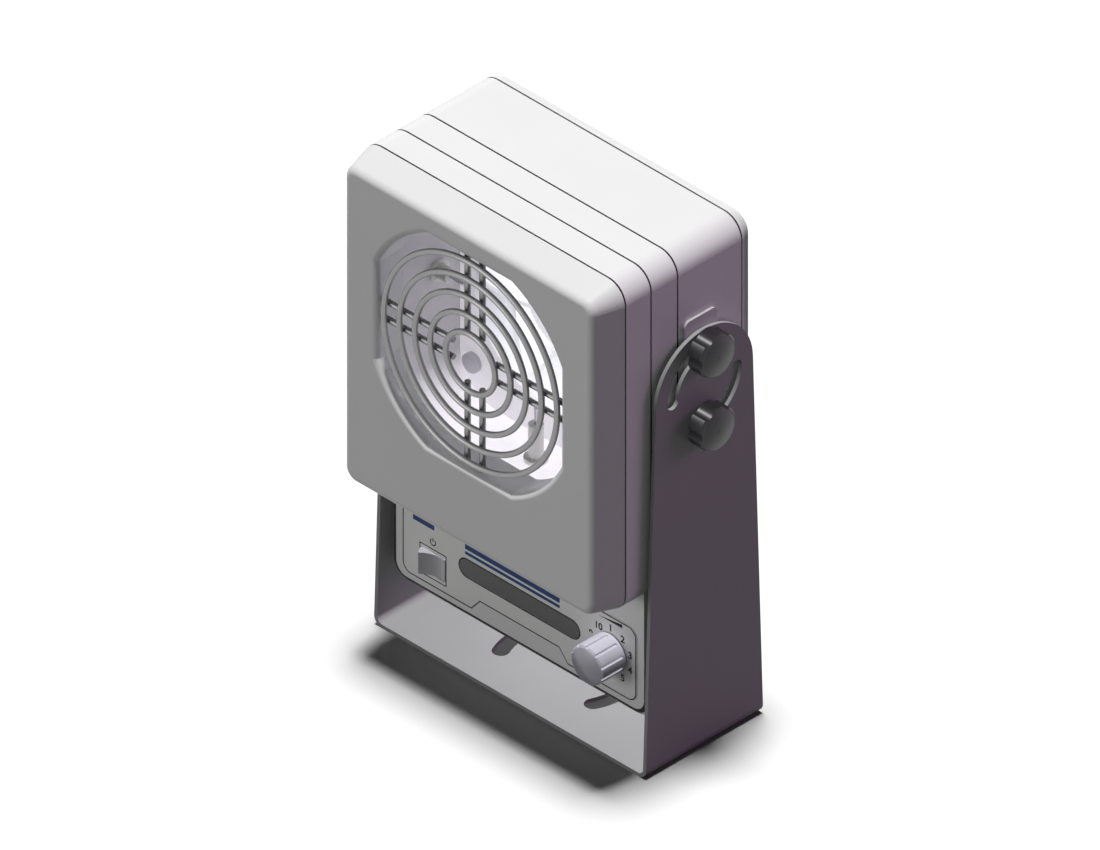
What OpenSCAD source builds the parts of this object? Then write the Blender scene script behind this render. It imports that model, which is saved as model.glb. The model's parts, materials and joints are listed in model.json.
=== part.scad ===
// Ionizing blower: a fan housing with emitter needles, clamped in a U bracket that lets it tilt.
// Millimetres. +Z is up, +X is right seen from the front, and the front faces -Y.
// The origin is the middle of the underside of the bracket's base.

/* [Bracket] */
// Height of the tilt axis above the surface that the base stands on
pivot_h = 132.4; // [124:0.2:150]
// Depth of the base, front to rear
bracket_d = 49.6; // [44:0.2:60]
// Thickness of the bent sheet
plate_t = 1.3; // [1:0.1:2]
// Inside radius of the two bends
bend_r = 2.1; // [1:0.1:4]
// Radius of the arm's round top about the tilt axis
arm_top_r = 20.5; // [19:0.1:21.5]
// Gap between the housing's side and the arm
side_gap = 1.1; // [1:0.1:2]
// Distance of the clamp studs from the tilt axis
clamp_r = 13.4; // [12:0.1:14]
// Width of the tilt slots
tilt_slot_w = 4.6; // [4.4:0.1:5.4]
// Tilt that the slots allow, in degrees
tilt_max = 90; // [60:1:110]
// Radius of the two arc slots in the base
base_slot_r = 21.5; // [18:0.1:24]
// Width of the arc slots in the base
base_slot_w = 5.6; // [4.4:0.1:6.6]
// Half of the angle that each arc slot in the base spans
base_slot_half = 25; // [10:1:30]
// Distance of each round base hole from the middle
base_hole_x = 32.6; // [30:0.1:44]
// Diameter of the round base holes
base_hole_d = 5.6; // [4.4:0.1:6.6]

/* [Housing] */
// Width of the housing
body_w = 110.2; // [107:0.1:124]
// Height of the housing's top above the tilt axis
head_top = 50.1; // [49:0.1:56]
// Depth of the head's underside below the tilt axis
head_drop = 70.1; // [66:0.1:76]
// Depth of the foot of the housing below the tilt axis
body_drop = 115.3; // [112:0.1:117]
// Radius of the long corners
corner_r = 7.2; // [6.2:0.1:9]
// Wall of the moulded shells
wall = 2.2; // [1.8:0.1:2.8]
// Distance of the front face ahead of the tilt axis
front_reach = 42.5; // [41:0.1:48]
// Depth of the drafted front cover
cover_depth = 11.2; // [10:0.1:14]
// Distance that the cover closes in towards the front, on each side
cover_draft = 3; // [1:0.1:3.4]
// Rounding of the cover's front edge
cover_edge_r = 2.5; // [1:0.1:2.8]
// Depth of the collar behind the cover
collar_depth = 10.8; // [8:0.1:12]
// Depth of the front case
case_depth = 11.2; // [9:0.1:13]
// Distance of the rear wall behind the tilt axis
rear_reach = 19.1; // [18.5:0.1:24]
// Rounding of the front case's lower edges
case_edge_r = 3; // [1:0.1:4]
// Width and depth of the groove that shows at each seam
seam = 0.3; // [0.2:0.1:0.6]
// Thickness of the rear panel
rear_panel_t = 2.9; // [2.4:0.1:4]

/* [Air outlet] */
// Radius of the outlet
outlet_r = 42.6; // [41:0.1:44]
// Distance of the outlet's four flats from its axis
outlet_half = 38.7; // [38:0.1:39.5]
// Rounding of the outlet's lip
lip_r = 2; // [0.5:0.1:2.2]
// Wall round the outlet
outlet_wall = 2; // [1.6:0.1:2.4]
// Diameter of the guard's wire
wire_d = 2; // [1.4:0.1:2.4]
// Radius of the guard's smallest ring
ring_first_r = 10.4; // [8:0.1:12]
// Distance from one ring to the next
ring_pitch = 6.55; // [5:0.05:6.6]
// Number of rings
ring_count = 5; // [3:1:5]
// Half of the distance between the two wires of a pair
pair_half = 3.15; // [2:0.05:4]

/* [Air duct] */
// Half width inside the duct
duct_half = 41.5; // [40.5:0.1:42]
// Height of the duct's roof above the axis
duct_rise = 45; // [43:0.1:45]
// Depth of the duct's floor below the axis
duct_drop = 49; // [44:0.1:56]
// Rounding of the duct's corners
duct_corner_r = 16; // [8:0.5:16]
// Wall of the duct
duct_wall = 1.6; // [1.2:0.1:1.8]
// Thickness of the duct's rear wall
duct_back_t = 1.2; // [1:0.1:1.4]

/* [Fan] */
// Side of the square fan frame
fan_size = 80; // [78:0.5:80.5]
// Depth of the fan
fan_depth = 20; // [20:0.5:20.5]
// Radius of the fan's bore
fan_bore_r = 38.3; // [37.6:0.1:38.6]
// Distance between the fan's screw holes
fan_pitch = 71.5; // [71:0.1:72]
// Radius of the impeller at its blade tips
blade_tip_r = 36.9; // [34:0.1:37.2]
// Radius of the impeller's hub
hub_r = 17; // [16:0.1:20]
// Number of blades
blade_count = 7; // [5:1:9]
// Turn of each blade over its depth, in degrees
blade_turn = 40; // [25:1:42]
// Thickness of a blade
blade_t = 1.5; // [1.2:0.1:2]
// Radius of the motor shaft
shaft_r = 1.5; // [1.2:0.1:1.8]
// Distance of the needle tips from the fan axis
needle_tip_r = 28; // [24:0.5:32]

/* [Control panel] */
// Distance of the panel film's ends from the housing's sides
film_inset = 5.6; // [5.1:0.1:6.1]
// Height of the panel film's top edge above the foot of the housing
film_top = 31.8; // [31:0.1:36]
// Height of the panel film's bottom edge above the foot of the housing
film_bottom = 4.8; // [4:0.1:6]
// Thickness of the panel film
film_t = 0.25; // [0.2:0.05:0.5]
// Height of the lamp window above the foot of the housing
window_h = 18.8; // [17:0.1:21]
// Length of the lamp window
window_len = 50.6; // [40:0.1:52]
// Width of the lamp window
window_w = 6.2; // [5:0.1:7]
// Distance of the power switch from the housing's left side
switch_inset = 18.4; // [17.7:0.1:19.6]
// Height of the power switch above the foot of the housing
switch_h = 13.1; // [12:0.1:15]
// Width of the switch opening
switch_w = 10.9; // [10.7:0.1:12]
// Height of the switch opening
switch_tall = 8.2; // [7.6:0.1:9]
// Turn of the rocker from off to on, in degrees
rocker_swing = 34; // [16:1:34]
// Distance of the speed knob from the housing's right side
knob_inset = 16.6; // [15.6:0.1:18.1]
// Height of the speed knob above the foot of the housing
knob_h = 18.5; // [16.5:0.1:20]
// Diameter of the speed knob
knob_d = 13.5; // [13:0.1:15]
// Length of the speed knob
knob_len = 10.2; // [9.5:0.1:12]

/* [Clamps] */
// Diameter of the clamp knobs
clamp_d = 15; // [14:0.1:18]
// Length of the clamp knobs
clamp_len = 6.6; // [6:0.1:9]
// Radius of the clamp studs
stud_r = 2; // [1.6:0.05:2]
// Half width of the friction pad on each side of the housing
pad_half_w = 6.7; // [5.5:0.1:8]
// Half height of the friction pad
pad_half_h = 25; // [20:0.5:30]
// Thickness of the friction pad
pad_t = 0.9; // [0.5:0.1:0.9]

/* [Hidden] */
$fn = 72;

// clearances
slip = 0.2;        // between moulded pieces that slide together
thread_fit = 0.05; // between a screw and its hole
run_fit = 0.04;    // between a shaft and its bearing
cut = 1;           // overshoot of a cutting solid

// bracket
bracket_w = body_w + 2 * (side_gap + plate_t);
arm_tangent = acos(arm_top_r / norm([bracket_d / 2, pivot_h])) - atan2(pivot_h, bracket_d / 2);

// stations along Y, front to rear, about the tilt axis
front_y = -front_reach;
collar_y = front_y + cover_depth;
case_y = collar_y + collar_depth;
split_y = case_y + case_depth;
rear_y = rear_reach;
rear_in_y = rear_y - wall;
rear_face_y = rear_y + rear_panel_t;
fan_y = rear_in_y - fan_depth;
duct_back_y = fan_y - duct_back_t;

// centres of the long corners
corner_x = body_w / 2 - corner_r;
corner_top = head_top - corner_r;
corner_head = corner_r - head_drop;
corner_foot = corner_r - body_drop;

// guard
wire_r = wire_d / 2;
ring_y = front_y + wire_r + 0.1;
spoke_y = ring_y + wire_d - 0.1;
socket_depth = 1.3;

// bosses and screws
boss_r = 3.4;
case_screw_r = 1.5;
case_head_r = 2.8;
case_head_t = 1.8;
fan_screw_r = 1.9;
fan_head_r = 3.3;
fan_head_t = 1.8;
board_screw_r = 1.2;

// fan
flange_t = 3.5;
base_plate_t = 2;
tube_r = 4.2;
bearing_r = 3;
hub_wall = 1.5;
hub_front_y = fan_y + 1.9;
hub_rear_y = rear_in_y - base_plate_t - 1.5;
tube_front_y = fan_y + 4.6;
blade_front_y = fan_y + 2.4;
blade_depth = fan_depth - 7.5;
magnet_front_y = fan_y + 5.5;
magnet_rear_y = hub_rear_y - 0.5;
magnet_t = 2;

// emitters
emitter_y = (collar_y + duct_back_y) / 2 + 4;
holder_r = 2.4;
holder_end = 36;
needle_r = 0.6;
needle_tip_len = 2.4;

// control panel, heights about the tilt axis
film_half = body_w / 2 - film_inset;
film_corner_r = 3.6;
notch_half = 20.4;
notch_top_half = 16.8;
notch_h = 4.3;
switch_x = body_w / 2 - switch_inset;
knob_x = body_w / 2 - knob_inset;
window_z = window_h - body_drop;
switch_z = switch_h - body_drop;
knob_z = knob_h - body_drop;
film_y = case_y - film_t;
case_in_y = case_y + wall;
board_gap = 12.3;
board_y = case_in_y + board_gap;
board_t = 1.6;
board_inset = 13.1;
board_half = body_w / 2 - board_inset;
board_low = 7 - body_drop;
board_high = -duct_drop - duct_wall - 8;
board_top_screw = [board_half - 4.5, board_high - 4.5];
board_low_screw = [board_half - 22, board_low + 4];

// parts behind and on the control board
module_inset = 19;
module_below = 14;
module_above = 10;
module_depth = 17;
module_wall = 1.5;
module_sink = 1;
capacitor_in = 30;
capacitor_len = 9;
capacitor_r = 4;
connector_in = 50;
connector_size = [14, 6, 6];
regulator_in = 68;
regulator_size = [8, 3, 8];
board_head_t = 1.6;
board_head_r = 2.4;
lamp_pitch = 16;
lamp_r = 1.5;

// rocker
rocker_gap = 0.2;
rocker_pivot_y = case_y + 1.2;
rocker_half = switch_w / 2 - 0.85;
rocker_face = 2.91;
rocker_flare = 0.65;
trunnion_r = 0.6;
trunnion_len = 1.1;
switch_wall = 1.2;
switch_depth = 11;
switch_pit = 7;

// speed control
shaft_d_r = 3;
bushing_r = 3.5;
nut_across = 9;
nut_t = 2;
knob_y = film_y - 0.35;
nut_pocket = 3.1;

// rear connections, about the tilt axis
rear_fit_inset = 22.1;
inlet_x = rear_fit_inset - body_w / 2;
ground_x = body_w / 2 - rear_fit_inset;
rear_fit_z = 13.3 - body_drop;
inlet_r = 5.4;
inlet_flange_r = 7;
inlet_flange_t = 1.2;
inlet_len = 14;
plug_r = 3.15;
plug_depth = 9;
pin_r = 1;
inlet_nut_across = 14;
inlet_nut_t = 2;
ground_r = 2;
ground_head_r = 3.8;
ground_head_t = 2.2;
ground_washer_r = 4.6;
ground_washer_t = 0.8;

// clamps, measured out from the arm's outer face
clamp_gap = 0.2;
washer_t = 0.6;
washer_r = 5;
insert_r = 3.2;
insert_len = 6.8;

// ---- helpers ----

// Places a drawing whose origin is on the tilt axis
module at_axis() {
    translate([0, 0, pivot_h]) children();
}

// Draws an XZ outline out from y0 to y1
module along_y(y0, y1) {
    translate([0, y1, 0]) rotate([90, 0, 0]) linear_extrude(y1 - y0) children();
}

// Draws a YZ outline out from x0 to x1
module across_x(x0, x1) {
    translate([x0, 0, 0]) rotate([90, 0, 90]) linear_extrude(x1 - x0) children();
}

// Round bar along Y
module rod(y0, y1, r) {
    translate([0, y0, 0]) rotate([-90, 0, 0]) cylinder(h = y1 - y0, r = r);
}

// Ring along Y
module tube(y0, y1, r_out, r_in) {
    difference() {
        rod(y0, y1, r_out);
        rod(y0 - cut, y1 + cut, r_in);
    }
}

// Rectangle with round corners, its middle at x = 0, from z0 up to z1
module outline(half_w, z0, z1, r) {
    translate([r - half_w, z0]) square([2 * (half_w - r), z1 - z0]);
    translate([-half_w, z0 + r]) square([2 * half_w, z1 - z0 - 2 * r]);
    for (x = [r - half_w, half_w - r], z = [z0 + r, z1 - r]) translate([x, z]) circle(r);
}

module head_outline(inset) {
    outline(body_w / 2 - inset, inset - head_drop, head_top - inset, corner_r - inset);
}

module body_outline(inset) {
    outline(body_w / 2 - inset, inset - body_drop, head_top - inset, corner_r - inset);
}

module duct_outline(grow) {
    outline(duct_half + grow, -duct_drop - grow, duct_rise + grow, duct_corner_r + grow);
}

module outlet_outline(grow) {
    intersection() {
        circle(outlet_r + grow);
        square(2 * (outlet_half + grow), center = true);
    }
}

// Arc slot round the Z axis, with round ends
module arc_slot(r, w, from, to, h) {
    rotate([0, 0, from]) rotate_extrude(angle = to - from)
        translate([r - w / 2, 0]) square([w, h]);
    for (a = [from, to]) rotate([0, 0, a]) translate([r, 0, 0]) cylinder(h = h, d = w);
}

// Section of an edge: x outward from the corner's axis, y back from the front face
module edge_section(r_back, r_front, depth, edge_r) {
    draft = atan((r_back - r_front) / depth);
    centre = r_front + edge_r * tan(draft) - edge_r / cos(draft);
    polygon([
        [0, 0],
        [centre, 0],
        [centre + edge_r * cos(draft), edge_r * (1 - sin(draft))],
        [r_back, depth],
        [0, depth]
    ]);
    translate([centre, edge_r]) circle(edge_r);
}

// Block that closes in from r_back to r_front towards its front face at y = 0.
// hx, z0 and z1 place the axes of its four long corners.
module drafted_block(hx, z0, z1, r_back, r_front, depth, edge_r) {
    for (x = [-hx, hx], z = [z0, z1]) translate([x, 0, z]) rotate([-90, 0, 0])
        rotate_extrude() intersection() {
            edge_section(r_back, r_front, depth, edge_r);
            square([r_back, depth]);
        }
    translate([0, 0, z0]) linear_extrude(z1 - z0) {
        for (m = [0, 1]) mirror([m, 0]) translate([hx, 0])
            edge_section(r_back, r_front, depth, edge_r);
        translate([-hx, 0]) square([2 * hx, depth]);
    }
    translate([hx, 0, 0]) rotate([0, -90, 0]) linear_extrude(2 * hx) {
        translate([z1, 0]) edge_section(r_back, r_front, depth, edge_r);
        translate([z0, 0]) mirror([1, 0]) edge_section(r_back, r_front, depth, edge_r);
        translate([z0, 0]) square([z1 - z0, depth]);
    }
}

// ---- bracket ----

module channel_outline(w, r) {
    h = pivot_h + arm_top_r + cut;
    translate([-w / 2, r]) square([w, h - r]);
    translate([r - w / 2, 0]) square([w - 2 * r, h]);
    for (x = [r - w / 2, w / 2 - r]) translate([x, r]) circle(r);
}

module arm_outline() {
    half = bracket_d / 2;
    tangent = arm_top_r * [cos(arm_tangent), sin(arm_tangent)];
    polygon([
        [-half, 0],
        [half, 0],
        [tangent[0], pivot_h + tangent[1]],
        [-tangent[0], pivot_h + tangent[1]]
    ]);
    translate([0, pivot_h]) circle(arm_top_r);
}

module bracket() {
    color([0.6, 0.6, 0.61]) difference() {
        intersection() {
            along_y(-bracket_d / 2, bracket_d / 2) difference() {
                channel_outline(bracket_w, bend_r + plate_t);
                translate([0, plate_t]) channel_outline(bracket_w - 2 * plate_t, bend_r);
            }
            across_x(-bracket_w / 2, bracket_w / 2) arm_outline();
        }
        translate([-bracket_w / 2 - cut, 0, pivot_h]) rotate([0, 90, 0])
            for (start = [0, 180])
                arc_slot(clamp_r, tilt_slot_w, start, start + tilt_max, bracket_w + 2 * cut);
        translate([0, 0, -cut]) for (side = [0, 180])
            arc_slot(base_slot_r, base_slot_w, side - base_slot_half, side + base_slot_half,
                plate_t + 2 * cut);
        for (x = [-base_hole_x, base_hole_x]) translate([x, 0, -cut])
            cylinder(h = plate_t + 2 * cut, d = base_hole_d);
    }
}

// ---- housing shells ----

// Shell ring with a small groove round its front edge
module grooved_ring(y0, y1) {
    along_y(y0 + seam, y1) children(0);
    along_y(y0, y0 + seam) children(1);
}

// Puts a child at each screw place of the head
module at_head_screws() {
    for (x = [-corner_x, corner_x], z = [corner_head, corner_top])
        translate([x, 0, z]) children();
}

// Puts a child at each screw place of the foot
module at_foot_screws() {
    for (x = [-corner_x, corner_x]) translate([x, 0, corner_foot]) children();
}

module at_fan_screws() {
    for (x = [-fan_pitch / 2, fan_pitch / 2], z = [-fan_pitch / 2, fan_pitch / 2])
        translate([x, 0, z]) children();
}

module at_board_screws() {
    for (p = [board_top_screw, board_low_screw], side = [-1, 1])
        translate([side * p[0], 0, p[1]]) children();
}

// Rounded lip of the outlet: the space that opens out to the front face
module lip_section(r) {
    difference() {
        square([r + lip_r, lip_r]);
        translate([r + lip_r, lip_r]) circle(lip_r);
    }
}

module lip_space() {
    long = 2 * (outlet_r + lip_r);
    translate([0, front_y, 0]) intersection() {
        rotate([-90, 0, 0]) rotate_extrude() lip_section(outlet_r);
        translate([0, 0, -long / 2]) linear_extrude(long)
            for (m = [0, 1]) mirror([m, 0]) lip_section(outlet_half);
        translate([long / 2, 0, 0]) rotate([0, -90, 0]) linear_extrude(long)
            for (m = [0, 1]) mirror([m, 0]) lip_section(outlet_half);
    }
}

// The guard's radial wires, in pairs at the top, right, bottom and left
module spokes(r_wire, r_from, r_to) {
    for (a = [0 : 90 : 270], side = [-1, 1]) rotate([0, a, 0])
        translate([side * pair_half, spoke_y, r_from]) cylinder(h = r_to - r_from, r = r_wire);
}

module front_cover() {
    color([0.93, 0.93, 0.92]) at_axis() difference() {
        union() {
            difference() {
                translate([0, front_y, 0]) drafted_block(corner_x, corner_head, corner_top,
                    corner_r, corner_r - cover_draft, cover_depth, cover_edge_r);
                translate([0, front_y + wall, 0]) drafted_block(corner_x, corner_head, corner_top,
                    corner_r - wall, corner_r - wall - cover_draft * (1 - wall / cover_depth),
                    cover_depth, 0.5);
            }
            along_y(front_y + wall / 2, collar_y) outlet_outline(outlet_wall);
            along_y(collar_y - outlet_wall, collar_y) duct_outline(duct_wall);
            at_head_screws() rod(front_y + wall / 2, collar_y, boss_r - 0.4);
        }
        along_y(front_y - cut, collar_y + cut) outlet_outline(0);
        lip_space();
        spokes(wire_r + thread_fit, outlet_half - cut, outlet_half + socket_depth);
        at_head_screws() rod(front_y + 3, collar_y + cut, case_screw_r + thread_fit);
    }
}

module head_collar() {
    color([0.93, 0.93, 0.92]) at_axis() difference() {
        grooved_ring(collar_y, case_y) {
            head_outline(0);
            head_outline(seam);
        }
        along_y(collar_y - cut, case_y + cut) head_outline(wall);
    }
}

module front_case() {
    color([0.93, 0.93, 0.92]) at_axis() difference() {
        union() {
            difference() {
                union() {
                    translate([0, case_y, 0]) drafted_block(corner_x, corner_foot, corner_top,
                        corner_r, corner_r, case_depth, case_edge_r);
                    grooved_ring(case_y, split_y) {
                        head_outline(0);
                        head_outline(seam);
                    }
                }
                along_y(case_in_y, split_y + cut) body_outline(wall);
            }
            at_head_screws() rod(case_y + wall / 2, split_y, boss_r);
            at_foot_screws() rod(case_y + wall / 2, split_y, boss_r);
            at_board_screws() rod(case_y + wall / 2, board_y, boss_r - 0.4);
        }
        along_y(case_y - cut, split_y + cut) duct_outline(duct_wall + slip);
        at_head_screws() rod(case_y - cut, split_y + cut, case_screw_r + slip);
        at_foot_screws() rod(case_in_y + cut, split_y + cut, case_screw_r + thread_fit);
        at_board_screws() rod(case_in_y + cut, board_y + cut, board_screw_r + thread_fit);
        along_y(case_y - cut, case_in_y + cut) window_outline(slip / 2);
        translate([-switch_x, 0, switch_z]) {
            along_y(case_y - cut, case_in_y + cut)
                square([switch_w, switch_tall], center = true);
            trunnion_pocket();
        }
        translate([knob_x, 0, knob_z]) rod(case_y - cut, case_in_y + cut, bushing_r + slip / 2);
    }
}

// Slots for the rocker's pins, open to the back of the wall
module trunnion_pocket() {
    half_h = switch_tall / 2 + trunnion_len;
    pin_r = trunnion_r + run_fit;
    translate([0, rocker_pivot_y, -half_h]) cylinder(h = 2 * half_h, r = pin_r);
    translate([-pin_r, rocker_pivot_y, -half_h]) cube([2 * pin_r, wall, 2 * half_h]);
}

module rear_case() {
    boss_in = body_w / 2 - insert_len - cut;
    color([0.93, 0.93, 0.92]) at_axis() difference() {
        union() {
            difference() {
                grooved_ring(split_y, rear_y) {
                    body_outline(0);
                    body_outline(seam);
                }
                along_y(split_y - cut, rear_in_y) body_outline(wall);
            }
            at_head_screws() rod(split_y, rear_y - wall / 2, boss_r);
            at_foot_screws() rod(split_y, rear_y - wall / 2, boss_r);
            for (side = [-1, 1], level = [-1, 1])
                translate([side < 0 ? wall / 2 - body_w / 2 : boss_in, 0, level * clamp_r])
                    rotate([0, 90, 0])
                        cylinder(h = body_w / 2 - wall / 2 - boss_in, r = insert_r + 2);
        }
        rod(rear_in_y - cut, rear_y + cut, fan_bore_r);
        at_head_screws() rod(split_y - cut, rear_y + cut, case_screw_r + slip);
        at_foot_screws() rod(split_y - cut, rear_y + cut, case_screw_r + slip);
        at_fan_screws() rod(rear_in_y - cut, rear_y - 0.3, fan_screw_r + thread_fit);
        for (side = [-1, 1], level = [-1, 1])
            translate([side < 0 ? -body_w / 2 - cut : body_w / 2 - insert_len, 0, level * clamp_r])
                rotate([0, 90, 0]) cylinder(h = insert_len + cut, r = insert_r + thread_fit);
        translate([inlet_x, 0, rear_fit_z]) rod(rear_in_y - cut, rear_y + cut, inlet_r + slip / 2);
        translate([ground_x, 0, rear_fit_z])
            rod(rear_in_y - cut, rear_y + cut, ground_r + thread_fit);
    }
}

filter_r = fan_bore_r + 2.4;
filter_t = rear_panel_t / 2;
grille_hub_r = 7;
grille_bar = 2;
grille_slot = 4;
grille_count = floor((fan_bore_r - grille_hub_r) / (grille_bar + grille_slot));

// Ring slots of the intake grille, crossed by four ribs
module grille_slots() {
    difference() {
        for (i = [0 : grille_count - 1]) {
            r = grille_hub_r + i * (grille_bar + grille_slot);
            tube(rear_y, rear_face_y + cut, r + grille_slot, r);
        }
        for (a = [45, 135]) rotate([0, a, 0]) translate([-fan_bore_r - cut, rear_y - cut, -1.5])
            cube([2 * (fan_bore_r + cut), rear_panel_t + 3 * cut, 3]);
    }
}

module rear_panel() {
    step = rear_panel_t / 2;
    color([0.9, 0.9, 0.89]) at_axis() difference() {
        union() {
            along_y(rear_y, rear_y + step) body_outline(0.5);
            along_y(rear_y + step, rear_face_y) body_outline(1.2);
        }
        rod(rear_y - cut, rear_y + filter_t, filter_r + slip);
        grille_slots();
        at_head_screws() rod(rear_y - cut, rear_face_y + cut, case_screw_r + slip);
        at_foot_screws() rod(rear_y - cut, rear_face_y + cut, case_screw_r + slip);
        at_head_screws() rod(rear_face_y - case_head_t, rear_face_y + cut, case_head_r + slip);
        at_foot_screws() rod(rear_face_y - case_head_t, rear_face_y + cut, case_head_r + slip);
        translate([inlet_x, 0, rear_fit_z]) rod(rear_y - cut, rear_face_y + cut, inlet_r + slip / 2);
        translate([ground_x, 0, rear_fit_z])
            rod(rear_y - cut, rear_face_y + cut, ground_r + thread_fit);
    }
}

module air_filter() {
    color([0.25, 0.26, 0.27]) at_axis() rod(rear_y, rear_y + filter_t - 0.05, filter_r);
}

module wire_guard() {
    color([0.62, 0.62, 0.62]) at_axis() {
        for (i = [0 : ring_count - 1]) translate([0, ring_y, 0]) rotate([-90, 0, 0])
            rotate_extrude() translate([ring_first_r + i * ring_pitch, 0]) circle(wire_r);
        spokes(wire_r, ring_first_r - 1.4, outlet_half + socket_depth - thread_fit);
    }
}

module air_duct() {
    color([0.9, 0.89, 0.92]) at_axis() difference() {
        along_y(collar_y, fan_y) duct_outline(duct_wall);
        along_y(collar_y - cut, duct_back_y) duct_outline(0);
        rod(duct_back_y - cut, fan_y + cut, fan_bore_r);
        at_fan_screws() rod(duct_back_y - cut, fan_y + cut, fan_screw_r + slip);
    }
}

// ---- fan ----

module fan_frame() {
    half = fan_size / 2;
    color([0.82, 0.82, 0.84]) at_axis() difference() {
        union() {
            difference() {
                union() {
                    along_y(fan_y, fan_y + flange_t) outline(half, -half, half, 4.5);
                    along_y(rear_in_y - flange_t, rear_in_y) outline(half, -half, half, 4.5);
                    rod(fan_y, rear_in_y, half - 0.2);
                }
                rod(fan_y - cut, rear_in_y + cut, fan_bore_r);
                at_fan_screws() rod(fan_y - cut, rear_in_y + cut, fan_screw_r + slip);
            }
            rod(rear_in_y - base_plate_t, rear_in_y, hub_r);
            rod(tube_front_y, rear_in_y, tube_r);
            for (a = [20 : 90 : 290]) rotate([0, a, 0])
                translate([-1.5, rear_in_y - base_plate_t, hub_r - cut])
                    cube([3, base_plate_t, fan_bore_r - hub_r + 1.5 * cut]);
        }
        rod(tube_front_y - cut, rear_in_y - 0.8, bearing_r);
    }
}

module fan_stator() {
    y0 = magnet_front_y + 1;
    y1 = magnet_rear_y - 1.5;
    pole_r = hub_r - hub_wall - magnet_t - 0.8;
    color([0.6, 0.4, 0.25]) at_axis() {
        tube(y0, y1, tube_r + 2.2, tube_r + thread_fit);
        for (a = [0 : 90 : 270]) rotate([0, a, 0]) {
            translate([-1.5, y0, tube_r + 1]) cube([3, y1 - y0, pole_r - tube_r - 2]);
            translate([-2.6, y0 + 0.6, tube_r + 2.4]) cube([5.2, y1 - y0 - 1.2, 2.6]);
            translate([0, y0, 0]) rotate([-90, 0, 0]) rotate([0, 0, -122])
                rotate_extrude(angle = 64) translate([pole_r - 1.6, 0]) square([1.6, y1 - y0]);
        }
    }
}

module fan_bearings() {
    color([0.75, 0.76, 0.78]) at_axis()
        for (y = [tube_front_y + 0.3, rear_in_y - 4.2])
            tube(y, y + 3, bearing_r - 0.02, shaft_r + run_fit);
}

module fan_screws() {
    color([0.7, 0.7, 0.72]) at_axis() at_fan_screws() {
        rod(duct_back_y - fan_head_t, duct_back_y, fan_head_r);
        rod(duct_back_y - 0.01, rear_y - 0.5, fan_screw_r);
    }
}

// Blade outline across the axis: a bar that sweeps back as it nears the tip
function blade_side(offset) = [
    for (i = [0 : 6])
        let (r = hub_r - 0.8 + i * (blade_tip_r - hub_r + 0.8) / 6, a = 2.2 * i)
            [r * cos(a) - offset * sin(a), r * sin(a) + offset * cos(a)]
];

module blade() {
    near = blade_side(-blade_t / 2);
    far = blade_side(blade_t / 2);
    translate([0, blade_front_y, 0]) rotate([-90, 0, 0])
        linear_extrude(blade_depth, twist = -blade_turn, slices = 9, segments = 14)
            polygon(concat(near, [for (i = [6 : -1 : 0]) far[i]]));
}

module impeller() {
    color([0.86, 0.86, 0.88]) at_axis() {
        difference() {
            union() {
                rod(hub_front_y, hub_rear_y, hub_r);
                for (i = [0 : blade_count - 1]) rotate([0, i * 360 / blade_count, 0]) blade();
            }
            rod(hub_front_y + 2.2, hub_rear_y + cut, hub_r - hub_wall);
            rod(hub_front_y - cut, hub_front_y + 2.2 + cut, shaft_r + 0.02);
        }
    }
}

module impeller_shaft() {
    color([0.75, 0.76, 0.78]) at_axis() rod(hub_front_y + 0.3, rear_in_y - 1, shaft_r);
}

module rotor_magnet() {
    color([0.3, 0.3, 0.32]) at_axis()
        tube(magnet_front_y, magnet_rear_y, hub_r - hub_wall - 0.02,
            hub_r - hub_wall - magnet_t);
}

// ---- emitters ----

// Distance from the axis to the duct's wall above, right, below and left
emitter_wall = [duct_rise, duct_half, duct_drop, duct_half];

module emitter_holders() {
    color([0.88, 0.88, 0.86]) at_axis() for (i = [0 : 3])
        rotate([0, 90 * i, 0]) translate([0, emitter_y, 0]) difference() {
            union() {
                translate([0, 0, holder_end])
                    cylinder(h = emitter_wall[i] - holder_end, r = holder_r);
                translate([0, 0, emitter_wall[i] - 1.2]) cylinder(h = 1.2, r = holder_r + 1.4);
            }
            translate([0, 0, holder_end - cut]) cylinder(h = 4, r = needle_r + 0.03);
        }
}

module emitter_needles() {
    color([0.7, 0.7, 0.72]) at_axis() for (i = [0 : 3])
        rotate([0, 90 * i, 0]) translate([0, emitter_y, needle_tip_r]) {
            cylinder(h = needle_tip_len, r1 = 0.1, r2 = needle_r);
            translate([0, 0, needle_tip_len])
                cylinder(h = holder_end + 2.8 - needle_tip_r - needle_tip_len, r = needle_r);
        }
}

// ---- electronics ----

module high_voltage_module() {
    half = board_half - module_inset;
    high = board_high - module_below;
    low = board_low + module_above;
    back_y = board_y + board_t + module_depth;
    color([0.13, 0.13, 0.14]) at_axis() difference() {
        along_y(board_y + board_t, back_y) outline(half, low, high, 2);
        along_y(back_y - module_sink, back_y + cut)
            outline(half - module_wall, low + module_wall, high - module_wall, 1);
    }
}

module control_board() {
    color([0.1, 0.35, 0.2]) at_axis() difference() {
        along_y(board_y, board_y + board_t) outline(board_half, board_low, board_high, 1.5);
        at_board_screws() rod(board_y - cut, board_y + board_t + cut, board_screw_r + slip);
    }
}

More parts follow.
